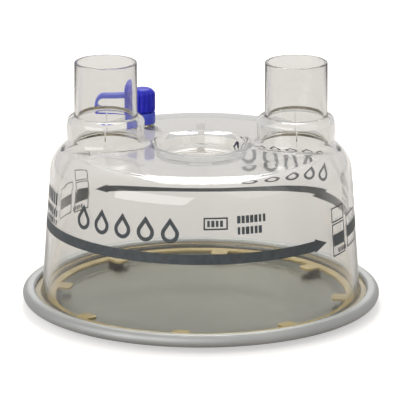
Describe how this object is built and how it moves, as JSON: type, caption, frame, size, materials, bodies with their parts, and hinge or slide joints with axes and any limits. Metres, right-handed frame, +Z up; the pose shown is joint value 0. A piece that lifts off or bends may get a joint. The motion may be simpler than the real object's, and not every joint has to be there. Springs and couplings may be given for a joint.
{
  "type": "humidification chamber",
  "caption": "Clear domed water chamber with two upright hose ports and a capped filling spigot, clamped on a metal heater base by a rolled rim.",
  "frame": {"origin": "centre of the base plate's flat contact face, which is also the centre of the part's lowest plane", "axes": "+Z up along the ports, X through both port axes with the filling spigot nearer the -X port, +Y towards the filling spigot's side, the back"},
  "size_m": [0.126, 0.126, 0.0875],
  "materials": {
    "base_plate": "satin drawn sheet, rolled rim",
    "seal_ring": "tan moulded silicone, matt",
    "dome": "clear moulded, glossy, with a dark printed level line",
    "fill_cap": "blue soft vinyl, semi matt",
    "cap_tether": "blue soft vinyl, semi matt"
  },
  "bodies": {
    "chamber": {"base_plate": "base_plate", "seal_ring": "seal_ring", "dome": "dome", "cap_tether": "cap_tether"},
    "cap": {"fill_cap": "fill_cap"}
  },
  "joints": [
    {"name": "cap_lift", "type": "slide", "parent": "chamber", "child": "cap", "axis": [0, 0, 1], "range_m": [0, 0.0105], "deforming": ["cap_tether"]}
  ]
}
